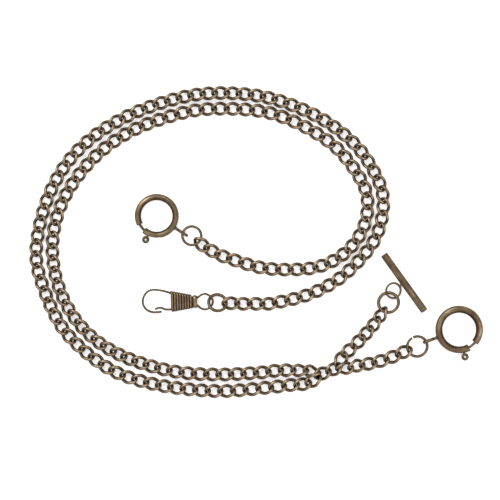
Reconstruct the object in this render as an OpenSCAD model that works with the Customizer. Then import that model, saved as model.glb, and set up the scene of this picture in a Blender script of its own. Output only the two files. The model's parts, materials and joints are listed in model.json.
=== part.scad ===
// Double pocket watch chain: two long curb strands and two short curb chains that meet
// at a pair of connecting links, with two bolt rings, a T-bar and a snap hook.
// Laid out flat on its resting surface, which is Z = 0.

/* [Links] */
// Half length of a link, along the middle of its wire
link_a = 2.87; // [2.85:0.01:2.89]
// Half width of a link, along the middle of its wire
link_b = 1.95; // [1.94:0.01:1.96]
// Thickness of the link wire
link_wire = 1.1; // [0.8:0.05:1.1]
// Twist of each end of a link, in degrees
link_twist = 37; // [36:1:38]
// Slope of a link's sides where they cross its middle, in degrees
link_slope = 46; // [45:1:47]

/* [Large bolt ring] */
// Radius of the large ring, to the middle of its tube
large_r = 7.1; // [6.9:0.1:7.3]
// Outer diameter of the large ring's tube
large_tube = 2.45; // [2.4:0.05:2.6]
// Direction of the large ring's eyelet, in degrees
large_turn = 200; // [195:1:205]

/* [Small bolt ring] */
// Radius of the small ring, to the middle of its tube
small_r = 6.6; // [6.4:0.1:6.8]
// Outer diameter of the small ring's tube
small_tube = 2.2; // [2.2:0.05:2.3]
// Direction of the small ring's eyelet, in degrees
small_turn = -33; // [-35:1:-31]

/* [Jump rings] */
// Wire of the heavy jump rings, at the hook and the T-bar
heavy_wire = 1.1; // [0.9:0.05:1.1]
// Wire of the light jump rings, at the two bolt rings
light_wire = 0.9; // [0.7:0.05:0.95]
// Opening of a jump ring's split, in degrees
split_angle = 2; // [1:0.5:4]

/* [T-bar] */
// Length of the bar
bar_length = 24.3; // [22:0.1:26]
// Diameter of the bar
bar_d = 2.55; // [2.4:0.05:2.6]
// Radius of the bar's ring, to the middle of its wire
bar_ring_r = 2.65; // [2.6:0.05:2.7]
// Wire of the bar's ring
bar_ring_wire = 0.75; // [0.6:0.05:0.75]

/* [Snap hook] */
// Wire of the hook's frame and gate
hook_wire = 0.78; // [0.6:0.02:0.78]
// Width of the flattened wire wound round the hook
collar_width = 1.05; // [0.9:0.05:1.1]
// Thickness of the flattened wire wound round the hook
collar_thick = 0.6; // [0.5:0.05:0.6]
// Turns of the winding
collar_turns = 7.25; // [7:0.25:7.5]

/* [Hidden] */
outer_nodes = 17;
inner_nodes = 16;
links_per_node = 5;
$fn = 48;
metal = "#8c7658";
dark_metal = "#7a6244";

// ---- places, [x, y, z, turn about Z, tilt about Y, roll about X] ----

large_ring_at = [71, -30.6, 1.23, large_turn, 0, 0];
small_ring_at = [-34.7, 9.1, 1.15, small_turn, 0, 180];
t_bar_ring_at = [48, -17, 1.28, 35.7, 0, 0];
hook_at = [0, -20.8, 2.15, 0, 0, 12];
large_jump_at = [56.35, -36.5, 1.35, -4, 8, 9];
small_jump_at = [-22.45, 2.2, 1.3, -1, 0, -9];
hook_jump_at = [-13.45, -21.2, 1.95, -5, 4, -25];
t_jump_at = [46.25, -21.15, 1.7, 2, -9, -14];

connecting_at = [
    [23.25, -45.9, 1.6, 22, 4, -4], [27.3, -44.4, 1.85, 29, -11, -9]
];
t_chain_at = [
    [29.6, -41.05, 1.4, 59, 5, 7], [32.45, -37.9, 1.4, 40, -1, -1], [35.7, -34.85, 1.4, 46, -1, -1],
    [38.6, -31.8, 1.55, 48, -4, -12], [41.3, -28.6, 1.85, 52, -4, -23], [43.75, -25.3, 2.05, 56, -3, -35]
];
ring_chain_at = [
    [30.9, -44.05, 2.65, 4, 2, 21], [35, -43.25, 2.05, 13, 14, 12], [39.2, -42.6, 1.45, 12, 1, 4],
    [43.45, -41.6, 1.4, 17, 0, 0], [47.65, -40.15, 1.4, 22, -1, -2], [51.65, -38.45, 1.5, 23, -2, -7]
];
outer_start_at = [[-8.8, -21.4, 1.5, 1, 5, 2], [-4.4, -21.6, 1.4, -2, -1, -2]];
outer_end_at = [[16.3, -49.7, 1.4, 11, -2, -2], [20.05, -48.4, 1.55, 29, -6, -13]];
inner_start_at = [[-19, -0.85, 1.55, -40, 2, 9], [-15.42, -3.1, 1.4, -27, 1, 1]];
inner_end_at = [
    [10.87, -44.78, 1.72, -1, -3.9, -16.3], [15.28, -44.86, 2.06, -0.8, -4.8, -25.2],
    [19.55, -45.15, 2.2, -11, 0, -38]
];

// ---- routes of the long strands on the surface, and how their links are spaced and rolled ----

outer_route = [
    [0, -21.6], [5, -21.5], [18, -18.5], [29.5, -12.5], [39, -3], [43, 4.5], [44.5, 13], [43, 21],
    [36.5, 32], [27, 40.5], [16, 46.5], [4, 50.5], [-8.5, 52], [-21, 51.5], [-33.5, 48.5], [-45, 44],
    [-56, 37.5], [-65, 29], [-71.5, 18.5], [-75.5, 6.5], [-76.8, -6], [-73.6, -18], [-68, -29.5],
    [-59.5, -38.5], [-49, -45.5], [-36.5, -49.5], [-23.5, -51.5], [-10.5, -52.1], [3, -51], [12, -50]
];
inner_route = [
    [-11.5, -5], [2, -9], [16, -9.5], [25, -7.5], [32.5, -2.5], [37.5, 5], [39, 14], [36.5, 22],
    [28.5, 32.5], [17.5, 40], [5, 45], [-8, 46.5], [-21, 46], [-33.5, 42.8], [-44.8, 38.1], [-54.8, 31.1],
    [-62.9, 22.1], [-68.6, 11.7], [-71.1, 0], [-70.1, -11.5], [-66.1, -22.2], [-59.6, -31], [-51, -37.6],
    [-41, -42], [-28, -45.3], [-14, -46.3], [0, -45.7], [6.5, -45]
];
// [link, spacing in proportion]
outer_spacing = [[0, 12.6], [10, 12.6], [14, 12.1], [60, 12], [72, 12.4], [82, 13]];
inner_spacing = [[0, 12.8], [6, 12.7], [9, 12.4], [18, 12.4], [20, 12.8], [30, 12.8], [36, 12.5], [46, 12.2],
    [50, 11.8], [62, 11.8], [66, 12.5], [75, 12.7]];
// [link, roll in degrees]
outer_roll = [[0, 0], [82, 0]];
inner_roll = [[0, 0], [52, 0], [55, 12], [59, 12], [62, 0], [69, 0], [74, -6.5]];

outer_run = 82;
inner_run = 75;

// ---- vectors and curves ----

function unit(v) = v / norm(v);

// a smooth curve through the points of a route
function curve_at(p, i, t) =
    let (a = p[max(i - 1, 0)], b = p[i], c = p[i + 1], d = p[min(i + 2, len(p) - 1)])
    ((2 * b) + (c - a) * t + (2 * a - 5 * b + 4 * c - d) * t * t + (3 * b - a - 3 * c + d) * t * t * t) / 2;

function curve(p, steps) = concat(
    [for (i = [0 : len(p) - 2]) for (k = [0 : steps - 1]) curve_at(p, i, k / steps)],
    [p[len(p) - 1]]
);

// running total of a list of numbers, starting with 0
function running(v) = [for (i = 0, s = 0; i <= len(v); s = s + (i < len(v) ? v[i] : 0), i = i + 1) s];

// ---- strands of links along a route ----

function strand(route, n, spacing, roll) =
    let (
        c = curve(route, 8),
        at = running([for (i = [0 : len(c) - 2]) norm(c[i + 1] - c[i])]),
        xs = [for (i = [0 : len(c) - 1]) [at[i], c[i].x]],
        ys = [for (i = [0 : len(c) - 1]) [at[i], c[i].y]],
        steps = running([for (i = [0 : n - 2]) (lookup(i, spacing) + lookup(i + 1, spacing)) / 2]),
        length = at[len(at) - 1]
    )
    [
        for (i = [0 : n - 1])
            let (
                s = length * steps[i] / steps[n - 1],
                s0 = max(s - link_a, 0),
                s1 = min(s + link_a, length),
                turn = atan2(lookup(s1, ys) - lookup(s0, ys), lookup(s1, xs) - lookup(s0, xs)),
                r = lookup(i, roll)
            )
            [lookup(s, xs), lookup(s, ys), link_drop(r), turn, 0, r]
    ];

// ---- one link: an end arc at each end, and a side arc from each end arc to each side's middle ----

reach = link_b * tan(link_twist) / sin(link_slope);
end_half = 2 * atan((link_a - reach * cos(link_slope)) / (link_b / cos(link_twist) + reach));
end_r = (link_b / cos(link_twist) - reach * cos(end_half)) / sin(end_half);

// the middle of a side, seen from where the end arc stops, with Y along the wire there
side_mid = let (
    x = link_a - end_r,
    y = link_b * cos(link_twist),
    z = link_b * sin(link_twist)
) [-x * cos(end_half) + y * sin(end_half) - end_r, x * sin(end_half) + y * cos(end_half), z];
side_roll = atan2(side_mid.z, -side_mid.x);
side_off = norm([side_mid.x, side_mid.z]);
side_r = (side_off * side_off + side_mid.y * side_mid.y) / (2 * side_off);
side_angle = 2 * atan2(side_off, side_mid.y);

// every second arc is a hair thinner and runs on inside its thicker neighbours, so that they join cleanly
wire_step = 0.02;
run_on = 2;

// a point of the side arc, [across the link, up]
function side_point(angle) =
    let (
        out = side_r * (cos(angle) - 1),
        x = out * cos(side_roll) + end_r,
        y = side_r * sin(angle),
        z = -out * sin(side_roll),
        across = x * sin(end_half) + y * cos(end_half)
    )
    [across * cos(link_twist) + z * sin(link_twist), z * cos(link_twist) - across * sin(link_twist)];

side_samples = [for (k = [0 : 12]) side_point(side_angle * k / 12)];

// height of a link's middle when it lies on the surface, rolled about its length
function link_drop(roll) =
    link_wire / 2 + max([for (p = side_samples) abs(p.x) * sin(abs(roll)) + abs(p.y) * cos(roll)]);

module bend(r, angle, wire) {
    more = wire < link_wire ? run_on : 0;
    rotate([0, 0, -more])
        rotate_extrude(angle = angle + 2 * more)
            translate([r, 0])
                circle(d = wire);
}

module half_link(end_wire, side_wire) {
    rotate([-link_twist, 0, 0]) {
        translate([link_a - end_r, 0, 0])
            rotate([0, 0, -end_half])
                bend(end_r, 2 * end_half, end_wire);
        for (side = [0, 180])
            rotate([side, 0, 0])
                translate([link_a - end_r, 0, 0])
                    rotate([0, 0, end_half])
                        translate([end_r, 0, 0])
                            rotate([0, side_roll, 0])
                                translate([-side_r, 0, 0])
                                    bend(side_r, side_angle, side_wire);
    }
}

module link() {
    half_link(link_wire, link_wire - wire_step);
    rotate([0, 180, 0]) half_link(link_wire - wire_step, link_wire);
}

module place(at) {
    translate([at[0], at[1], at[2]]) rotate([at[5], at[4], at[3]]) children();
}

module links(places) {
    for (at = places) place(at) link();
}

// the places of one node's links, the last node taking what is left over
function share(places, k, nodes) =
    [for (i = [links_per_node * (k - 1) : (k == nodes ? len(places) : links_per_node * k) - 1]) places[i]];

outer_at = concat(outer_start_at, strand(outer_route, outer_run, outer_spacing, outer_roll), outer_end_at);
inner_at = concat(inner_start_at, strand(inner_route, inner_run, inner_spacing, inner_roll), inner_end_at);

// ---- a wire swept along a path, section.x wide along its up directions and section.y across them ----

module wire(path, ups, section, sides) {
    n = len(path);
    function along(i) = unit(path[min(i + 1, n - 1)] - path[max(i - 1, 0)]);
    skin = [
        for (i = [0 : n - 1])
            let (t = along(i), s = unit(cross(t, ups[i])), u = cross(s, t))
            for (k = [0 : sides - 1])
                path[i] + section.y / 2 * cos(360 * k / sides) * s + section.x / 2 * sin(360 * k / sides) * u
    ];
    walls = [
        for (i = [0 : n - 2], k = [0 : sides - 1])
            let (a = i * sides + k, b = i * sides + (k + 1) % sides)
            for (f = [[a, b, b + sides], [a, b + sides, a + sides]]) f
    ];
    polyhedron(
        points = skin,
        faces = concat(
            walls,
            [[for (k = [sides - 1 : -1 : 0]) k]],
            [[for (k = [0 : sides - 1]) (n - 1) * sides + k]]
        )
    );
}

// ---- bolt rings: the eyelet is at 0 degrees, the gap opens between the two ends of the tube ----

slot_end = 97;
plain_end = 122;
stop_half = 12;
bolt_tip = 126;
bolt_tail = 66;
shoe_end = 77;
thumb_at = 82;
bolt_travel = 31;
bolt_wire = 0.9;
tube_wall = 0.36;
shoe_play = 0.1;
thumb_wire = 0.9;
thumb_r = 0.85;
thumb_stem = 0.75;
thumb_gap = 0.15;
slot_width = 1;
slot_margin = 4;
eye_wire = 0.6;
eye_out = 4.2;
eye_straight = 1;
shank_d = 0.8;
shank_play = 0.04;
spring_wire = 0.26;
spring_turns = 9;
spring_sides = 6;
spring_steps = 12;

module tube_arc(r, from, to, d) {
    rotate([0, 0, from]) rotate_extrude(angle = to - from) translate([r, 0]) circle(d = d);
}

module ring_shell(r, tube) {
    bore = tube - 2 * tube_wall;
    difference() {
        tube_arc(r, plain_end, 360 + slot_end, tube);
        tube_arc(r, stop_half, slot_end + 1, bore);
        tube_arc(r, plain_end - 1, 360 - stop_half, bore);
        rotate([0, 0, thumb_at - bolt_travel - slot_margin])
            rotate_extrude(angle = bolt_travel + 2 * slot_margin)
                translate([r, -slot_width / 2])
                    square([tube, slot_width]);
        translate([r, 0, 0]) rotate([0, 90, 0]) cylinder(d = shank_d + shank_play, h = tube);
    }
}

module ring_bolt(r, tube) {
    shoe = tube - 2 * tube_wall - 2 * shoe_play;
    thumb_out = tube / 2 + thumb_gap + thumb_r + thumb_wire / 2;
    tube_arc(r, bolt_tail, bolt_tip, bolt_wire);
    tube_arc(r, bolt_tail, shoe_end, shoe);
    rotate([0, 0, thumb_at]) {
        translate([r, 0, 0]) rotate([0, 90, 0]) cylinder(d = thumb_stem, h = thumb_out - thumb_r);
        translate([r + thumb_out, 0, 0]) rotate_extrude() translate([thumb_r, 0]) circle(d = thumb_wire);
    }
}

module ring_spring(r, tube) {
    coil_r = tube / 2 - tube_wall - shoe_play - spring_wire / 2;
    from = stop_half + 2;
    to = bolt_tail - 2;
    n = spring_turns * spring_steps;
    path = [
        for (i = [0 : n])
            let (a = from + (to - from) * i / n, b = 360 * i / spring_steps, q = r + coil_r * cos(b))
            [q * cos(a), q * sin(a), coil_r * sin(b)]
    ];
    ups = [for (i = [0 : n]) let (a = from + (to - from) * i / n) [-sin(a), cos(a), 0]];
    wire(path, ups, [spring_wire, spring_wire], spring_sides);
}

module ring_eyelet(r, tube, height) {
    eye_r = height - eye_wire / 2;
    middle = r + eye_out;
    translate([r, 0, 0]) rotate([0, 90, 0]) cylinder(d = shank_d, h = eye_out - eye_straight - eye_r);
    for (side = [-1, 1]) {
        translate([middle + side * eye_straight, 0, 0])
            rotate([90, 0, 0])
                rotate([0, 0, side * 90 - 90 - 90])
                    rotate_extrude(angle = 180)
                        translate([eye_r, 0])
                            circle(d = eye_wire);
        translate([middle - eye_straight - 0.05, 0, side * eye_r])
            rotate([0, 90, 0])
                cylinder(d = eye_wire + wire_step, h = 2 * eye_straight + 0.1);
    }
}

module large_ring_shell() { color(dark_metal) place(large_ring_at) ring_shell(large_r, large_tube); }
module large_ring_bolt() { color(metal) place(large_ring_at) ring_bolt(large_r, large_tube); }
module large_ring_spring() { color("#9a9a96") place(large_ring_at) ring_spring(large_r, large_tube); }
module large_ring_eyelet() { color(metal) place(large_ring_at) ring_eyelet(large_r, large_tube, 1.2); }
module small_ring_shell() { color(dark_metal) place(small_ring_at) ring_shell(small_r, small_tube); }
module small_ring_bolt() { color(metal) place(small_ring_at) ring_bolt(small_r, small_tube); }
module small_ring_spring() { color("#9a9a96") place(small_ring_at) ring_spring(small_r, small_tube); }
module small_ring_eyelet() { color(metal) place(small_ring_at) ring_eyelet(small_r, small_tube, 1.14); }

// ---- jump rings: bent wire, closed up to a narrow split ----

large_jump_r = 3.57;
small_jump_r = 3.3;
hook_jump_r = 3.1;
t_jump_r = 3.52;
wide_split = 3 * split_angle;

module jump_ring(r, wire, split_at, split) {
    rotate([0, 0, split_at + split / 2])
        rotate_extrude(angle = 360 - split)
            translate([r, 0])
                circle(d = wire);
}

module large_ring_jump_ring() {
    color(metal) place(large_jump_at) jump_ring(large_jump_r, light_wire + 0.05, 123, wide_split);
}

module small_ring_jump_ring() {
    color(metal) place(small_jump_at) jump_ring(small_jump_r, light_wire, 60, split_angle);
}

module hook_jump_ring() {
    color(metal) place(hook_jump_at) jump_ring(hook_jump_r, heavy_wire, 75, split_angle);
}

module t_bar_jump_ring() {
    color(metal) place(t_jump_at) jump_ring(t_jump_r, heavy_wire, 330, split_angle);
}

// ---- T-bar, with the small ring that is soldered to its side ----

bar_off = 4.67;
bar_edge = 0.2;
neck_d = 0.9;
neck_play = 0.04;
neck_in = 0.7;

module t_bar() {
    color(dark_metal) place(t_bar_ring_at) difference() {
        translate([bar_off, 0, 0])
            rotate([90, 0, 0])
                rotate_extrude()
                    polygon([
                        [0, -bar_length / 2], [bar_d / 2 - bar_edge, -bar_length / 2],
                        [bar_d / 2, bar_edge - bar_length / 2], [bar_d / 2, bar_length / 2 - bar_edge],
                        [bar_d / 2 - bar_edge, bar_length / 2], [0, bar_length / 2]
                    ]);
        translate([bar_off - bar_d, 0, 0])
            rotate([0, 90, 0])
                cylinder(d = neck_d + neck_play, h = bar_d / 2 + neck_in + neck_play);
    }
}

module t_bar_ring() {
    color(metal) place(t_bar_ring_at) {
        rotate([14, 8, 0]) rotate_extrude() translate([bar_ring_r, 0]) circle(d = bar_ring_wire);
        translate([bar_ring_r, 0, 0])
            rotate([0, 90, 0])
                cylinder(d = neck_d, h = bar_off - bar_d / 2 + neck_in - bar_ring_r);
    }
}

// ---- snap hook: a bent frame, a winding round its shank and a springy gate ----

// points of the frame's wire, from its nose round the bow, through the winding and round the eye
frame_route = [
    [-32.9, -3.65], [-34.6, -3.8], [-36.4, -3.75], [-38.1, -3], [-39.2, -1.6], [-39.55, 0.1], [-39.1, 1.9],
    [-38, 3.4], [-36.5, 4.15], [-34.9, 4.2], [-33.3, 4], [-31.7, 3.55], [-30.4, 2.95], [-29.2, 2.7],
    [-25, 1.91], [-21.2, 1.2], [-20.2, 1.6], [-19.1, 2.4], [-17.8, 2.75], [-16.4, 2.25], [-15.4, 1.15],
    [-15.05, 0], [-15.4, -1.15], [-16.4, -2.3], [-17.8, -2.8], [-19.1, -2.45], [-20.2, -1.65], [-21.2, -1.2],
    [-25, -1.91]
];
gate_route = [[-29.7, -2.8], [-30.6, -2.85], [-31.8, -2.75], [-33.1, -2.25], [-34.3, -2.3], [-35.3, -2.8]];
frame_sides = 10;
collar_from = -30;
collar_to = -21.1;
shank_end = -21.2;
collar_play = 0.06;
collar_core = hook_wire / 2 + collar_play + collar_thick / 2;
collar_steps = 16;
collar_sides = 8;

function flat(p) = [for (q = p) [q.x, q.y, 0]];
function repeat(v, n) = [for (i = [1 : n]) v];

module flat_wire(route, steps, d) {
    path = flat(curve(route, steps));
    wire(path, repeat([0, 0, 1], len(path)), [d, d], frame_sides);
}

// half the distance between the two wires that the winding holds
function shank_half(x) = lookup(x, [[collar_from, 2.85], [shank_end, 1.2]]);

// one turn of the winding, a circle round each wire with straight runs between, as u goes from 0 to 1
function winding(u, h) =
    let (v = u - floor(u), a = v < 0.5 ? v * 4 * 90 - 90 : (v - 0.5) * 4 * 90 + 90)
    [(v < 0.5 ? h : -h) + collar_core * cos(a), collar_core * sin(a)];

module hook_frame() {
    color(metal) place(hook_at) flat_wire(frame_route, 3, hook_wire);
}

module hook_gate() {
    color(metal) place(hook_at) flat_wire(gate_route, 4, hook_wire);
}

module hook_collar() {
    n = collar_turns * collar_steps;
    path = [
        for (i = [0 : n])
            let (
                x = collar_from + (collar_to - collar_from) * i / n,
                p = winding(i / collar_steps, shank_half(x))
            )
            [x, p.x, p.y]
    ];
    color(dark_metal) place(hook_at)
        wire(path, repeat([1, 0, 0], len(path)), [collar_width, collar_thick], collar_sides);
}

// ---- chains ----

module connecting_links() { color(metal) links(connecting_at); }
module t_bar_chain(k) { color(metal) links([for (i = [0 : 2]) t_chain_at[3 * (k - 1) + i]]); }
module ring_chain(k) { color(metal) links([for (i = [0 : 2]) ring_chain_at[3 * (k - 1) + i]]); }
module outer_strand(k) { color(metal) links(share(outer_at, k, outer_nodes)); }
module inner_strand(k) { color(metal) links(share(inner_at, k, inner_nodes)); }

large_ring_shell();
large_ring_bolt();
large_ring_spring();
large_ring_eyelet();
small_ring_shell();
small_ring_bolt();
small_ring_spring();
small_ring_eyelet();
large_ring_jump_ring();
small_ring_jump_ring();
hook_jump_ring();
t_bar_jump_ring();
t_bar();
t_bar_ring();
hook_frame();
hook_collar();
hook_gate();
connecting_links();
for (k = [1 : 2]) t_bar_chain(k);
for (k = [1 : 2]) ring_chain(k);
for (k = [1 : outer_nodes]) outer_strand(k);
for (k = [1 : inner_nodes]) inner_strand(k);
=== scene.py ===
import json
import math

import bmesh
import bpy
import numpy as np
from mathutils import Euler, Matrix, Vector


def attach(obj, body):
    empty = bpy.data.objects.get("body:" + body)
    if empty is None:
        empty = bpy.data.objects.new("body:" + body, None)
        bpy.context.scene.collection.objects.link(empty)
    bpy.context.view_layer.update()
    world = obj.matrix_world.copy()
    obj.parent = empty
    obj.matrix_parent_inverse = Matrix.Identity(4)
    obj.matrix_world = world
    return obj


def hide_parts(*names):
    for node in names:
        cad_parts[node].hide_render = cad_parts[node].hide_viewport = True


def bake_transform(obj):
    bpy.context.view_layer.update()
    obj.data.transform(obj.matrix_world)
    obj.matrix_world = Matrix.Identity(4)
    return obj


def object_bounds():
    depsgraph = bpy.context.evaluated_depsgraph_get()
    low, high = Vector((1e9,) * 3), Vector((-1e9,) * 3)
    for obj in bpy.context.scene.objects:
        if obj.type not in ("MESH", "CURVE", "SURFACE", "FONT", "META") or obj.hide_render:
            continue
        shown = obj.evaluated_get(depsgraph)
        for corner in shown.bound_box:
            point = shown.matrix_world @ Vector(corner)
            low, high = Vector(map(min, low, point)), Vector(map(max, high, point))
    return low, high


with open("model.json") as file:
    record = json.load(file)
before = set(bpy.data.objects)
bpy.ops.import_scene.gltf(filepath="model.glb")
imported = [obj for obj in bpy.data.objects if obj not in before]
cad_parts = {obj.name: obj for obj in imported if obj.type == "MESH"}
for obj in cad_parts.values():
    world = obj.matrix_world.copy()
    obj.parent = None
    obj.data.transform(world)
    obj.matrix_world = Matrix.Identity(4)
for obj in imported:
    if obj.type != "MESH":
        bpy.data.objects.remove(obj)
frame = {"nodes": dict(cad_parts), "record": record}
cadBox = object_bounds()
scene = bpy.context.scene
mm = 0.001
print("frame loaded:", len(frame["nodes"]), "nodes")

studio = {
    "lookX": -2.1, "lookY": -2.8, "height": 800, "viewWidth": 175,
    "clipStart": 10, "clipEnd": 10000,
    "floorSize": 6000, "floorDrop": 0.02, "floorColor": (0.92, 0.92, 0.92, 1), "floorRough": 0.6,
    "floorSpecular": 0.1, "floorGlow": 0.45,
    "worldColor": (1, 1, 1, 1), "worldPower": 0.72,
    "keyPlace": (-300, 350, 620), "keySize": 420, "keyPower": 3.2,
    "fillPlace": (420, -300, 560), "fillSize": 520, "fillPower": 1.8,
}


def addArea(name, place, size, power):
    light = bpy.data.lights.new(name, "AREA")
    light.size = size * mm
    light.energy = power
    lamp = bpy.data.objects.new(name, light)
    lamp.location = Vector(place) * mm
    lamp.rotation_euler = (-Vector(place)).to_track_quat("-Z", "Y").to_euler()
    scene.collection.objects.link(lamp)


def buildStudio(s):
    cameraData = bpy.data.cameras.new("topCamera")
    cameraData.lens = cameraData.sensor_width * s["height"] / s["viewWidth"]
    cameraData.clip_start = s["clipStart"] * mm
    cameraData.clip_end = s["clipEnd"] * mm
    camera = bpy.data.objects.new("topCamera", cameraData)
    camera.location = (s["lookX"] * mm, s["lookY"] * mm, s["height"] * mm)
    scene.collection.objects.link(camera)
    scene.camera = camera

    bm = bmesh.new()
    bmesh.ops.create_grid(bm, x_segments=1, y_segments=1, size=s["floorSize"] * mm / 2)
    bmesh.ops.translate(bm, verts=bm.verts, vec=(0, 0, cadBox[0].z - s["floorDrop"] * mm))
    floor = finishMesh("studioFloor", bm)
    paper = bpy.data.materials.new("studioPaper")
    paper.use_nodes = True
    paperShader = paper.node_tree.nodes["Principled BSDF"]
    paperShader.inputs["Base Color"].default_value = s["floorColor"]
    paperShader.inputs["Roughness"].default_value = s["floorRough"]
    paperShader.inputs["Specular IOR Level"].default_value = s["floorSpecular"]
    paperShader.inputs["Emission Color"].default_value = s["floorColor"]
    paperShader.inputs["Emission Strength"].default_value = s["floorGlow"]
    floor.data.materials.append(paper)

    world = bpy.data.worlds.new("softRoom")
    world.use_nodes = True
    room = world.node_tree.nodes["Background"]
    room.inputs["Color"].default_value = s["worldColor"]
    room.inputs["Strength"].default_value = s["worldPower"]
    scene.world = world
    addArea("keyLight", s["keyPlace"], s["keySize"], s["keyPower"])
    addArea("fillLight", s["fillPlace"], s["fillSize"], s["fillPower"])
    scene.view_settings.view_transform = "Standard"


def finishMesh(name, bm, smooth=True):
    for face in bm.faces:
        face.smooth = smooth
    mesh = bpy.data.meshes.new(name)
    bm.to_mesh(mesh)
    bm.free()
    piece = bpy.data.objects.new(name, mesh)
    scene.collection.objects.link(piece)
    return piece


def wireFrames(points, ups, closed=False):
    # one frame per point: X along up, Z along the wire
    frames = []
    count = len(points)
    for i, point in enumerate(points):
        if closed:
            along = points[(i + 1) % count] - points[i - 1]
        else:
            along = points[min(i + 1, count - 1)] - points[max(i - 1, 0)]
        z = along.normalized()
        x = (ups[i] - ups[i].dot(z) * z).normalized()
        y = z.cross(x)
        frames.append(Matrix((x, y, z)).transposed().to_4x4())
        frames[-1].translation = point
    return frames


def sweepWire(bm, frames, wide, thick, sides, closed=False, rubAndLightOf=None, taper=None):
    # a round or flattened wire along the frames, made by extruding one loop from frame to frame
    rubAndPaintedLight = bm.verts.layers.float.get("rubAndPaintedLight") or bm.verts.layers.float.new("rubAndPaintedLight")
    section = Matrix.Diagonal((wide / 2, thick / 2, 1, 1))
    made = bmesh.ops.create_circle(
        bm, cap_ends=False, radius=1, segments=sides, matrix=frames[0] @ section
    )
    verts = made["verts"]
    edges = list({e for v in verts for e in v.link_edges})
    firstEdges = edges
    rings = [verts]
    for before, now in zip(frames, frames[1:]):
        grown = bmesh.ops.extrude_edge_only(bm, edges=edges)["geom"]
        verts = [g for g in grown if isinstance(g, bmesh.types.BMVert)]
        fresh = set(verts)
        edges = [g for g in grown if isinstance(g, bmesh.types.BMEdge) and set(g.verts) <= fresh]
        bmesh.ops.transform(bm, matrix=now @ before.inverted(), verts=verts)
        rings.append(verts)
    if taper:
        for ring, place, size in zip(rings, frames, taper):
            if size != 1:
                scaled = place @ Matrix.Diagonal((size, size, 1, 1)) @ place.inverted()
                bmesh.ops.transform(bm, matrix=scaled, verts=ring)
    if closed:
        bmesh.ops.bridge_loops(bm, edges=edges + firstEdges)
    else:
        bmesh.ops.contextual_create(bm, geom=firstEdges)
        bmesh.ops.contextual_create(bm, geom=edges)
    # each vertex keeps its rub value, which on the links and the hook winding also holds painted shade and
    # painted highlights
    for ring, place in zip(rings, frames):
        for v in ring:
            v[rubAndPaintedLight] = rubAndLightOf(v.co, place) if rubAndLightOf else 0.5


def smoothRoute(route, steps):
    # points of a smooth curve through the route's points
    points = []
    last = len(route) - 1
    for i in range(last):
        a, b, c, d = (Vector(route[k]) for k in (max(i - 1, 0), i, i + 1, min(i + 2, last)))
        for k in range(steps):
            t = k / steps
            points.append((2 * b + (c - a) * t + (2 * a - 5 * b + 4 * c - d) * t**2
                           + (3 * b - a - 3 * c + d) * t**3) / 2)
    points.append(Vector(route[last]))
    return points


def placeMatrix(at):
    # at holds x, y, z in millimetres, then the turn about Z, tilt about Y and roll about X in degrees
    x, y, z, turn, tilt, roll = at
    spin = Euler((math.radians(roll), math.radians(tilt), math.radians(turn)), "XYZ").to_matrix()
    return Matrix.Translation((x * mm, y * mm, z * mm)) @ spin.to_4x4() @ Matrix.Scale(mm, 4)


bronze = {
    "dark": (0.014, 0.008, 0.004, 1),
    "brown": (0.074, 0.046, 0.024, 1),
    "middle": (0.168, 0.118, 0.071, 1),
    "bright": (0.360, 0.280, 0.188, 1),
    "red": (1.28, 0.92, 0.70, 1),
    "olive": (0.96, 1.00, 0.86, 1),
}
wearing = {
    "facing": (0.12, 0.98), "facingShare": 0.58, "rubAndLightShare": 0.46, "unevenBand": (0.3, 0.7),
    "cloud": (0.5, 3, 0.5), "cloudShare": 0.08, "speck": (3.4, 4, 0.6), "speckShare": 0.07,
    "streak": (1.3, 3, 0.6), "grain": (26, 2, 0.5), "tone": (0.55, 2, 0.5),
    "redBand": (0.50, 0.64), "oliveBand": (0.50, 0.38), "speckHeight": 0.7, "grainHeight": 0.3,
    "stops": ((0.10, "dark"), (0.42, "brown"), (0.76, "middle"), (1.0, "bright")),
}


def newGroup(name, inputs, outputs):
    group = bpy.data.node_groups.new(name, "ShaderNodeTree")
    for label, kind, value in inputs:
        socket = group.interface.new_socket(label, in_out="INPUT", socket_type=kind)
        if value is not None:
            socket.default_value = value
    for label, kind in outputs:
        group.interface.new_socket(label, in_out="OUTPUT", socket_type=kind)
    return group, group.nodes.new("NodeGroupInput"), group.nodes.new("NodeGroupOutput")


def addMath(tree, operation, first, second=None, clamp=False):
    node = tree.nodes.new("ShaderNodeMath")
    node.operation = operation
    node.use_clamp = clamp
    for socket, value in zip(node.inputs, (first, second)):
        if value is None:
            continue
        if isinstance(value, (int, float)):
            socket.default_value = value
        else:
            tree.links.new(value, socket)
    return node.outputs[0]


def addNoise(tree, place, scale, detail, roughness=0.5):
    node = tree.nodes.new("ShaderNodeTexNoise")
    node.inputs["Scale"].default_value = scale
    node.inputs["Detail"].default_value = detail
    node.inputs["Roughness"].default_value = roughness
    tree.links.new(place, node.inputs["Vector"])
    return node.outputs["Fac"]


def addRange(tree, value, low, high, toLow=0.0, toHigh=1.0, smooth=False):
    node = tree.nodes.new("ShaderNodeMapRange")
    node.interpolation_type = "SMOOTHSTEP" if smooth else "LINEAR"
    tree.links.new(value, node.inputs["Value"])
    for label, number in (("From Min", low), ("From Max", high), ("To Min", toLow), ("To Max", toHigh)):
        node.inputs[label].default_value = number
    return node.outputs["Result"]


def addMix(tree, factor, first, second, blend="MIX"):
    node = tree.nodes.new("ShaderNodeMix")
    node.data_type = "RGBA"
    node.blend_type = blend
    for socket, value in ((node.inputs[0], factor), (node.inputs[6], first), (node.inputs[7], second)):
        if isinstance(value, (int, float, tuple)):
            socket.default_value = value
        else:
            tree.links.new(value, socket)
    return node.outputs[2]


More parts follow.
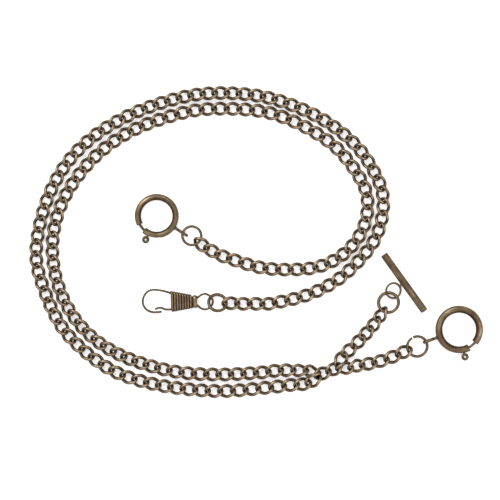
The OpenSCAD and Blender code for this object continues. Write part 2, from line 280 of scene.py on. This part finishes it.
def makePatinaGroup(s):
    # how far the dark patina is rubbed away, from the way a face points, its rub and some unevenness; on
    # the links and the hook winding that rub also holds painted shade and painted highlights
    tree, given, out = newGroup(
        "rubbedPatina",
        [("Place", "NodeSocketVector", None), ("Grain Place", "NodeSocketVector", None),
         ("Facing", "NodeSocketVector", None), ("Rub And Painted Light", "NodeSocketFloat", 0.5),
         ("Rubbed", "NodeSocketFloat", 0.5), ("Tint", "NodeSocketFloat", 0.3),
         ("Streaks", "NodeSocketFloat", 0.1)],
        [("Color", "NodeSocketColor"), ("Bareness And Painted Light", "NodeSocketFloat"), ("Height", "NodeSocketFloat")],
    )
    place, grainPlace = given.outputs["Place"], given.outputs["Grain Place"]
    split = tree.nodes.new("ShaderNodeSeparateXYZ")
    tree.links.new(given.outputs["Facing"], split.inputs[0])
    flat = addMath(tree, "ABSOLUTE", split.outputs["Z"])
    facing = addRange(tree, flat, *s["facing"], smooth=True)
    cloud = addNoise(tree, place, *s["cloud"])
    streak = addNoise(tree, grainPlace, *s["streak"])
    speck = addNoise(tree, place, *s["speck"])
    grain = addNoise(tree, place, *s["grain"])
    wearAndPaintedLight = addMath(tree, "ADD", addMath(tree, "MULTIPLY", facing, s["facingShare"]),
                   addMath(tree, "MULTIPLY", given.outputs["Rub And Painted Light"], s["rubAndLightShare"]))
    for noise, share in ((cloud, s["cloudShare"]), (speck, s["speckShare"])):
        wearAndPaintedLight = addMath(tree, "ADD", wearAndPaintedLight, addRange(tree, noise, *s["unevenBand"], -share, share))
    streakWear = addRange(tree, streak, *s["unevenBand"], -1.0, 1.0)
    uneven = addMath(tree, "MULTIPLY", streakWear, given.outputs["Streaks"])
    wearAndPaintedLight = addMath(tree, "ADD", wearAndPaintedLight, uneven)
    wearAndPaintedLight = addMath(tree, "ADD", wearAndPaintedLight, addMath(tree, "SUBTRACT", given.outputs["Rubbed"], 0.5), clamp=True)
    ramp = tree.nodes.new("ShaderNodeValToRGB")
    ramp.color_ramp.interpolation = "EASE"
    while len(ramp.color_ramp.elements) < len(s["stops"]):
        ramp.color_ramp.elements.new(0.5)
    for element, (position, shade) in zip(ramp.color_ramp.elements, s["stops"]):
        element.position = position
        element.color = bronze[shade]
    tree.links.new(wearAndPaintedLight, ramp.inputs[0])
    tone = addNoise(tree, grainPlace, *s["tone"])
    redMask = addRange(tree, tone, *s["redBand"], smooth=True)
    oliveMask = addRange(tree, tone, *s["oliveBand"], smooth=True)
    redder = addMath(tree, "MULTIPLY", redMask, given.outputs["Tint"])
    greener = addMath(tree, "MULTIPLY", oliveMask, given.outputs["Tint"])
    color = addMix(tree, redder, ramp.outputs[0], bronze["red"], "MULTIPLY")
    color = addMix(tree, greener, color, bronze["olive"], "MULTIPLY")
    tree.links.new(color, out.inputs["Color"])
    tree.links.new(wearAndPaintedLight, out.inputs["Bareness And Painted Light"])
    height = addMath(tree, "ADD", addMath(tree, "MULTIPLY", speck, s["speckHeight"]),
                     addMath(tree, "MULTIPLY", grain, s["grainHeight"]))
    tree.links.new(height, out.inputs["Height"])
    return tree


def makeRingGroup():
    # a place on a bent tube, told as millimetres along it, outwards and up
    tree, given, out = newGroup(
        "roundTheRing", [("Place", "NodeSocketVector", None), ("Ring Radius", "NodeSocketFloat", 7.0)],
        [("Along", "NodeSocketVector"), ("Outwards", "NodeSocketFloat")])
    split = tree.nodes.new("ShaderNodeSeparateXYZ")
    tree.links.new(given.outputs["Place"], split.inputs[0])
    x, y = split.outputs["X"], split.outputs["Y"]
    angle = addMath(tree, "ARCTAN2", y, x)
    squares = addMath(tree, "ADD", addMath(tree, "MULTIPLY", x, x), addMath(tree, "MULTIPLY", y, y))
    outwards = addMath(tree, "SUBTRACT", addMath(tree, "SQRT", squares), given.outputs["Ring Radius"])
    join = tree.nodes.new("ShaderNodeCombineXYZ")
    tree.links.new(addMath(tree, "MULTIPLY", angle, given.outputs["Ring Radius"]), join.inputs[0])
    tree.links.new(outwards, join.inputs[1])
    tree.links.new(split.outputs["Z"], join.inputs[2])
    tree.links.new(join.outputs[0], out.inputs["Along"])
    tree.links.new(outwards, out.inputs["Outwards"])
    return tree


def makeBronze(name, s):
    material = bpy.data.materials.new(name)
    material.use_nodes = True
    tree = material.node_tree
    shader = tree.nodes["Principled BSDF"]
    shader.inputs["Metallic"].default_value = s["metallic"]
    coords = tree.nodes.new("ShaderNodeTexCoord")
    mapping = tree.nodes.new("ShaderNodeMapping")
    mapping.vector_type = "TEXTURE"
    x, y, z, turn = s.get("centre", (0, 0, 0, 0))
    mapping.inputs["Location"].default_value = (x * mm, y * mm, z * mm)
    mapping.inputs["Rotation"].default_value = (0, 0, math.radians(turn))
    mapping.inputs["Scale"].default_value = (mm, mm, mm)
    tree.links.new(coords.outputs["Object"], mapping.inputs["Vector"])
    group = tree.nodes.new("ShaderNodeGroup")
    group.node_tree = patina
    grainPlace = mapping.outputs[0]
    tree.links.new(mapping.outputs[0], group.inputs["Place"])
    tree.links.new(coords.outputs["Normal"], group.inputs["Facing"])
    group.inputs["Rub And Painted Light"].default_value = s["rubAndPaintedLight"]
    if s.get("ringRadius"):
        around = tree.nodes.new("ShaderNodeGroup")
        around.node_tree = roundTheRing
        around.inputs["Ring Radius"].default_value = s["ringRadius"]
        tree.links.new(mapping.outputs[0], around.inputs["Place"])
        grainPlace = around.outputs["Along"]
        # darker at the inner rim of the tube, lighter towards its outer rim
        low, high = s["innerToOuterRim"]
        rim = addRange(tree, around.outputs["Outwards"], *s["rimBand"], low, high, smooth=True)
        tree.links.new(rim, group.inputs["Rub And Painted Light"])
    # the rub attribute, which on the links and the hook winding also holds painted shade and painted
    # highlights
    if s.get("painted"):
        rubAndPaintedLight = tree.nodes.new("ShaderNodeAttribute")
        rubAndPaintedLight.attribute_name = "rubAndPaintedLight"
        tree.links.new(rubAndPaintedLight.outputs["Fac"], group.inputs["Rub And Painted Light"])
    stretch = tree.nodes.new("ShaderNodeMapping")
    stretch.inputs["Scale"].default_value = (s["stretch"], 1, 1)
    tree.links.new(grainPlace, stretch.inputs["Vector"])
    tree.links.new(stretch.outputs[0], group.inputs["Grain Place"])
    for label in ("Rubbed", "Tint", "Streaks"):
        group.inputs[label].default_value = s[label.lower()]
    tree.links.new(group.outputs["Color"], shader.inputs["Base Color"])
    rough = addRange(tree, group.outputs["Bareness And Painted Light"], *s["bareBand"], s["roughDark"], s["roughBare"])
    tree.links.new(rough, shader.inputs["Roughness"])
    bump = tree.nodes.new("ShaderNodeBump")
    bump.inputs["Strength"].default_value = s["bump"]
    bump.inputs["Distance"].default_value = s["bumpDepth"] * mm
    tree.links.new(group.outputs["Height"], bump.inputs["Height"])
    tree.links.new(bump.outputs[0], shader.inputs["Normal"])
    return material


def setMaterial(thing, material):
    if thing.data.materials:
        for slot in thing.material_slots:
            slot.material = material
    else:
        thing.data.materials.append(material)


patina = makePatinaGroup(wearing)
roundTheRing = makeRingGroup()
wireFinish = {
    "metallic": 0.9, "rubAndPaintedLight": 0.42, "rubbed": 0.37, "tint": 0.35, "streaks": 0.06, "stretch": 1,
    "roughDark": 0.58, "roughBare": 0.34, "bump": 0.5, "bareBand": (0.1, 1.0), "bumpDepth": 0.02,
}
tubeFinish = {
    "metallic": 0.88, "rubAndPaintedLight": 0.42, "rubbed": 0.48, "tint": 0.9, "streaks": 0.26, "stretch": 0.14,
    "roughDark": 0.6, "roughBare": 0.46, "bump": 0.6, "innerToOuterRim": (-0.35, 0.55),
    "rimBand": (-1.15, 0.35), "bareBand": (0.1, 1.0), "bumpDepth": 0.02,
}
linkBronze = makeBronze("linkBronze", {**wireFinish, "painted": True, "rubbed": 0.47})
wireBronze = makeBronze("wireBronze", wireFinish)
coilBronze = makeBronze("coilBronze", {**wireFinish, "painted": True, "rubbed": 0.42, "tint": 0.5})
lipBronze = makeBronze("lipBronze", {**wireFinish, "rubAndPaintedLight": 0.3})
springSteel = makeBronze("springSteel", {**wireFinish, "rubbed": 0.7, "tint": 0})
print("materials made")
bodies = frame["record"]["behaviour"]["bodies"]
bodyOf = {node: body for body, nodes in bodies.items() for node in nodes}


curb = {
    "halfLength": 2.85, "halfWidth": 1.93, "wire": 1.14, "twist": 37, "slope": 46,
    # the outward share lightens the outer side of the wire as wear and darkens its inner side with painted
    # shade
    "endSteps": 3, "sideSteps": 6, "sides": 10, "rubBase": 0.30, "outerWearInnerShade": 0.42, "rubTop": 0.35,
}


def linkPoints(s):
    # the middle of the wire, once round the link
    a, b = s["halfLength"], s["halfWidth"]
    twist, slope = math.radians(s["twist"]), math.radians(s["slope"])
    reach = b * math.tan(twist) / math.sin(slope)
    endHalf = 2 * math.atan((a - reach * math.cos(slope)) / (b / math.cos(twist) + reach))
    endR = (b / math.cos(twist) - reach * math.cos(endHalf)) / math.sin(endHalf)
    endPlane = Matrix.Rotation(-twist, 4, "X") @ Matrix.Translation((a - endR, 0, 0))
    sideStart = endPlane @ Matrix.Rotation(endHalf, 4, "Z") @ Matrix.Translation((endR, 0, 0))
    middle = sideStart.inverted() @ Vector((0, b, 0))
    sideRoll = math.atan2(middle.z, -middle.x)
    off = math.hypot(middle.x, middle.z)
    sideR = (off * off + middle.y * middle.y) / (2 * off)
    sideAngle = 2 * math.atan2(off, middle.y)
    sidePlane = sideStart @ Matrix.Rotation(sideRoll, 4, "Y") @ Matrix.Translation((-sideR, 0, 0))
    quarter = [endPlane @ Matrix.Rotation(endHalf * k / s["endSteps"], 4, "Z") @ Vector((endR, 0, 0))
               for k in range(s["endSteps"])]
    quarter += [sidePlane @ Matrix.Rotation(sideAngle * k / s["sideSteps"], 4, "Z") @ Vector((sideR, 0, 0))
                for k in range(s["sideSteps"] + 1)]
    half = quarter + [Vector((-p.x, p.y, -p.z)) for p in reversed(quarter[:-1])]
    return half + [Vector((p.x, -p.y, -p.z)) for p in reversed(half[1:-1])]


def makeLink(s):
    points = linkPoints(s)
    frames = wireFrames(points, points, closed=True)
    tall = max(abs(p.z) for p in points) + s["wire"] / 2

    # wear on the outer side and on the top and bottom of the wire, with painted shade on the inner side
    # that faces the link's hole
    def rubAndLightOf(co, place):
        outward = (co - place.translation).normalized().dot(place.translation.normalized())
        top = (abs(co.z) / tall) ** 2
        return min(1, max(0, s["rubBase"] + s["outerWearInnerShade"] * outward + s["rubTop"] * top))

    bm = bmesh.new()
    sweepWire(bm, frames, s["wire"], s["wire"], s["sides"], closed=True, rubAndLightOf=rubAndLightOf)
    bmesh.ops.recalc_face_normals(bm, faces=bm.faces)
    mesh = bpy.data.meshes.new("linkPattern")
    bm.to_mesh(mesh)
    bm.free()
    return mesh


def solidPlaces(cadNode):
    # centre and axes of each separate solid in a node's mesh, the longest axis first
    sameSpot = 1e-6
    mesh = cadNode.data
    mesh.calc_loop_triangles()
    spots = np.empty(len(mesh.vertices) * 3)
    mesh.vertices.foreach_get("co", spots)
    spots = spots.reshape(-1, 3)
    corners = np.empty(len(mesh.loop_triangles) * 3, int)
    mesh.loop_triangles.foreach_get("vertices", corners)
    steps = np.round(spots / sameSpot).astype(np.int64)
    merged = np.unique(steps, axis=0, return_inverse=True)[1].reshape(-1)
    triangles = merged[corners.reshape(-1, 3)]
    group = np.arange(merged.max() + 1)
    while True:
        low = group[triangles].min(axis=1)
        fresh = group.copy()
        for k in range(3):
            np.minimum.at(fresh, triangles[:, k], low)
        fresh = fresh[fresh]
        if np.array_equal(fresh, group):
            break
        group = fresh
    owner = group[triangles[:, 0]]
    a, b, c = (spots[corners.reshape(-1, 3)[:, k]] for k in range(3))
    centres = (a + b + c) / 3
    areas = np.linalg.norm(np.cross(b - a, c - a), axis=1)
    places = []
    for label in np.unique(owner):
        mine = owner == label
        weight = areas[mine] / areas[mine].sum()
        middle = (centres[mine] * weight[:, None]).sum(axis=0)
        spread = (centres[mine] - middle).T @ ((centres[mine] - middle) * weight[:, None])
        axes = np.linalg.eigh(spread)[1][:, ::-1]
        axes[:, 2] = np.cross(axes[:, 0], axes[:, 1])
        place = Matrix(axes.tolist()).to_4x4()
        place.translation = Vector(middle.tolist())
        places.append(place @ Matrix.Scale(mm, 4))
    return places


def buildChains(s):
    pattern = makeLink(s)
    count = 0
    for nodeName, cadNode in frame["nodes"].items():
        if not ("strand" in nodeName or "chain" in nodeName or nodeName == "connecting_links"):
            continue
        bm = bmesh.new()
        for place in solidPlaces(cadNode):
            before = set(bm.verts)
            bm.from_mesh(pattern)
            bmesh.ops.transform(bm, matrix=place, verts=[v for v in bm.verts if v not in before])
            count += 1
        piece = finishMesh(nodeName + "_links", bm)
        setMaterial(piece, linkBronze)
        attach(piece, bodyOf[nodeName])
        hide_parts(nodeName)
    print("links placed:", count)


hook = {
    "at": (0, -20.8, 2.15, 0, 0, 12), "wire": 0.78, "sides": 14, "routeSteps": 6,
    "frameRoute": [
        (-32.9, -3.65, 0), (-34.6, -3.8, 0), (-36.4, -3.75, 0), (-38.1, -3, 0), (-39.2, -1.6, 0),
        (-39.55, 0.1, 0), (-39.1, 1.9, 0), (-38, 3.4, 0), (-36.5, 4.15, 0), (-34.9, 4.2, 0),
        (-33.3, 4, 0), (-31.7, 3.65, 0), (-30.4, 3.25, 0), (-29.2, 2.85, 0), (-25, 1.91, 0),
        (-21.2, 1.2, 0), (-20.2, 1.6, 0), (-19.1, 2.4, 0), (-17.8, 2.75, 0), (-16.4, 2.25, 0),
        (-15.4, 1.15, 0), (-15.05, 0, 0), (-15.4, -1.15, 0), (-16.4, -2.3, 0), (-17.8, -2.8, 0),
        (-19.1, -2.45, 0), (-20.2, -1.65, 0), (-21.2, -1.2, 0), (-25, -1.91, 0),
    ],
    "gateRoute": [(-29.7, -2.8, 0), (-30.6, -2.85, 0), (-31.8, -2.75, 0), (-33.1, -2.25, 0),
                  (-34.3, -2.3, 0), (-35.3, -2.8, 0)],
    "coilFrom": -29.7, "coilTo": -22.3, "coilTurns": 8, "coilSteps": 40, "coilSides": 12,
    "coilWide": 0.9, "coilThick": 0.6, "coilCore": 0.75,
    "wideX": -30, "wideHalf": 2.85, "narrowX": -21.2, "narrowHalf": 1.2,
    # the ridge fall sets how fast the painted highlight along each winding gives way to painted shade at
    # its sides
    "bandX": -21.35, "bandWide": 1.7, "highlightFall": 1.5, "endTaper": (0.55, 0.85),
}


def buildWire(name, s, route):
    points = smoothRoute(route, s["routeSteps"])
    bm = bmesh.new()
    tip = list(s["endTaper"])
    ends = tip + [1] * (len(points) - 2 * len(tip)) + tip[::-1]
    sweepWire(bm, wireFrames(points, [Vector((0, 0, 1))] * len(points)), s["wire"], s["wire"],
              s["sides"], taper=ends)
    bmesh.ops.recalc_face_normals(bm, faces=bm.faces)
    bmesh.ops.transform(bm, matrix=placeMatrix(s["at"]), verts=bm.verts)
    piece = finishMesh(name, bm)
    setMaterial(piece, wireBronze)
    return piece


def windingPoint(s, x, turn):
    # half a circle round one wire of the shank, then half a circle round the other
    share = min(1, max(0, (x - s["wideX"]) / (s["narrowX"] - s["wideX"])))
    half = s["wideHalf"] + (s["narrowHalf"] - s["wideHalf"]) * share
    if turn < 0.5:
        angle, side = turn * 2 * math.pi - math.pi / 2, half
    else:
        angle, side = (turn - 0.5) * 2 * math.pi + math.pi / 2, -half
    return Vector((x, side + s["coilCore"] * math.cos(angle), s["coilCore"] * math.sin(angle)))


def coilPoints(s):
    total = round(s["coilTurns"] * s["coilSteps"])
    run = s["coilTo"] - s["coilFrom"]
    return [windingPoint(s, s["coilFrom"] + run * i / total, i / s["coilSteps"] % 1)
            for i in range(total + 1)]


def buildHook(s):
    wireFrame = buildWire("hookFrame", s, s["frameRoute"])
    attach(wireFrame, "hook")
    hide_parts("hook_frame")
    gate = buildWire("hookGate", s, s["gateRoute"])
    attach(gate, "hook_gate")
    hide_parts("hook_gate")

    # a painted highlight along the middle of each winding that falls off to painted shade at its sides,
    # towards the gaps between turns
    def ridgeHighlight(wide):
        return lambda co, place: 1 - s["highlightFall"] * abs((place.inverted() @ co).x) / (wide / 2)

    bm = bmesh.new()
    points = coilPoints(s)
    sweepWire(bm, wireFrames(points, [Vector((1, 0, 0))] * len(points)), s["coilWide"], s["coilThick"],
              s["coilSides"], rubAndLightOf=ridgeHighlight(s["coilWide"]))
    band = [windingPoint(s, s["bandX"], k / s["coilSteps"]) for k in range(s["coilSteps"])]
    sweepWire(bm, wireFrames(band, [Vector((1, 0, 0))] * len(band), closed=True), s["bandWide"],
              s["coilThick"], s["coilSides"], closed=True, rubAndLightOf=ridgeHighlight(s["bandWide"] * 2))
    bmesh.ops.recalc_face_normals(bm, faces=bm.faces)
    bmesh.ops.transform(bm, matrix=placeMatrix(s["at"]), verts=bm.verts)
    coil = finishMesh("hookWinding", bm)
    setMaterial(coil, coilBronze)
    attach(coil, "hook")
    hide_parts("hook_collar")
    print("hook made")


boltRings = {
    "large": {"at": (71, -30.6, 1.23, 200, 0, 0), "radius": 7.1, "tube": 2.45, "half": 1.2},
    "small": {"at": (-34.7, 9.1, 1.15, -33, 0, 180), "radius": 6.6, "tube": 2.2, "half": 1.14},
    "eyeOut": 4.2, "eyeStraight": 1, "stripWide": 1.0, "stripThick": 0.55, "stripSides": 14,
    "stemWide": 0.98, "stemSides": 18, "stemSunk": 0.14, "archSteps": 12,
    "fillet": (1.75, 1.5, 1.28, 1.12, 1.02, 1), "filletStep": 0.16,
    "springFrom": 14, "springTo": 64, "springTurns": 9, "springSteps": 12, "springWire": 0.26,
    "springSides": 6, "springInset": 0.59,
    "ends": (97, 122), "lipWire": 0.34, "lipReach": 0.1, "lipSides": 10, "lipSteps": 32,
}


def buildEyelet(name, ring, s):
    # an upright loop of flattened wire on a stem that is soldered to the tube
    bm = bmesh.new()
    middle = ring["radius"] + s["eyeOut"]
    archR = ring["half"] - s["stripThick"] / 2
    points = []
    for side in (1, -1):
        for k in range(s["archSteps"] + 1):
            angle = math.pi / 2 - math.pi * k / s["archSteps"]
            points.append(Vector((middle + side * (s["eyeStraight"] + archR * math.cos(angle)), 0,
                                  side * archR * math.sin(angle))))
    frames = wireFrames(points, [Vector((0, 1, 0))] * len(points), closed=True)
    sweepWire(bm, frames, s["stripWide"], s["stripThick"], s["stripSides"], closed=True)
    start = ring["radius"] + ring["tube"] / 2 - s["stemSunk"]
    end = middle - s["eyeStraight"] - archR
    reach = [start + s["filletStep"] * k for k in range(len(s["fillet"]))] + [end]
    stem = [Vector((x, 0, 0)) for x in reach]
    sweepWire(bm, wireFrames(stem, [Vector((0, 1, 0))] * len(stem)), s["stemWide"], s["stemWide"],
              s["stemSides"], taper=list(s["fillet"]) + [1])
    bmesh.ops.recalc_face_normals(bm, faces=bm.faces)
    bmesh.ops.transform(bm, matrix=placeMatrix(ring["at"]), verts=bm.verts)
    eyelet = finishMesh(name + "RingEyelet", bm)
    setMaterial(eyelet, wireBronze)
    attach(eyelet, name + "_ring")
    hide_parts(name + "_ring_eyelet")


def buildLips(name, ring, s):
    # the turned edge at each end of the tube, a little proud at its inner and outer sides
    bm = bmesh.new()
    up = ring["tube"] / 2 - s["lipWire"] / 2
    out = ring["tube"] / 2 + s["lipReach"] - s["lipWire"] / 2
    for degrees in s["ends"]:
        turn = Matrix.Rotation(math.radians(degrees), 4, "Z")
        points = []
        for k in range(s["lipSteps"]):
            angle = 2 * math.pi * k / s["lipSteps"]
            points.append(turn @ Vector((ring["radius"] + out * math.cos(angle), 0, up * math.sin(angle))))
        along = turn @ Vector((0, 1, 0))
        sweepWire(bm, wireFrames(points, [along] * len(points), closed=True), s["lipWire"], s["lipWire"],
                  s["lipSides"], closed=True)
    bmesh.ops.recalc_face_normals(bm, faces=bm.faces)
    bmesh.ops.transform(bm, matrix=placeMatrix(ring["at"]), verts=bm.verts)
    lips = finishMesh(name + "RingLips", bm)
    setMaterial(lips, lipBronze)
    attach(lips, name + "_ring")


def buildSpring(name, ring, s):
    # the return spring inside the tube, which the bolt presses together along the tube when drawn back;
    # built here as one fixed coil
    coilR = ring["tube"] / 2 - s["springInset"]
    count = s["springTurns"] * s["springSteps"]
    points, ups = [], []
    for i in range(count + 1):
        along = math.radians(s["springFrom"] + (s["springTo"] - s["springFrom"]) * i / count)
        around = 2 * math.pi * i / s["springSteps"]
        reach = ring["radius"] + coilR * math.cos(around)
        points.append(Vector((reach * math.cos(along), reach * math.sin(along), coilR * math.sin(around))))
        ups.append(Vector((-math.sin(along), math.cos(along), 0)))
    bm = bmesh.new()
    sweepWire(bm, wireFrames(points, ups), s["springWire"], s["springWire"], s["springSides"])
    bmesh.ops.recalc_face_normals(bm, faces=bm.faces)
    bmesh.ops.transform(bm, matrix=placeMatrix(ring["at"]), verts=bm.verts)
    spring = finishMesh(name + "RingSpring", bm)
    setMaterial(spring, springSteel)
    ends = []
    for degrees in (s["springFrom"], s["springTo"]):
        turn = math.radians(degrees)
        local = Vector((ring["radius"] * math.cos(turn), ring["radius"] * math.sin(turn), 0))
        ends.append(tuple(placeMatrix(ring["at"]) @ local))
    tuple(ends[0])
    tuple(ends[1])
    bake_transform(spring)
    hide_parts(name + "_ring_spring")


def buildBoltRings(s):
    for name in ("large", "small"):
        ring = s[name]
        x, y, z, turn = ring["at"][:4]
        tube = makeBronze(name + "TubeBronze", {
            **tubeFinish, "centre": (x, y, z, turn), "ringRadius": ring["radius"]})
        setMaterial(frame["nodes"][name + "_ring_shell"], tube)
        buildEyelet(name, ring, s)
        buildLips(name, ring, s)
        buildSpring(name, ring, s)
    print("bolt rings made")


tBar = {"at": (48, -17, 1.28, 35.7), "off": 4.67}


def dressFittings(s):
    x, y, z, turn = s["at"]
    along = math.radians(turn)
    middle = (x + s["off"] * math.cos(along), y + s["off"] * math.sin(along), z, turn + 90)
    barBronze = makeBronze("barBronze", {**tubeFinish, "centre": middle, "tint": 0.6})
    for nodeName, cadNode in frame["nodes"].items():
        if nodeName == "t_bar":
            setMaterial(cadNode, barBronze)
        elif nodeName.endswith(("_bolt", "jump_ring", "t_bar_ring")):
            setMaterial(cadNode, wireBronze)
    print("fittings dressed")


buildStudio(studio)
buildChains(curb)
buildHook(hook)
buildBoltRings(boltRings)
dressFittings(tBar)
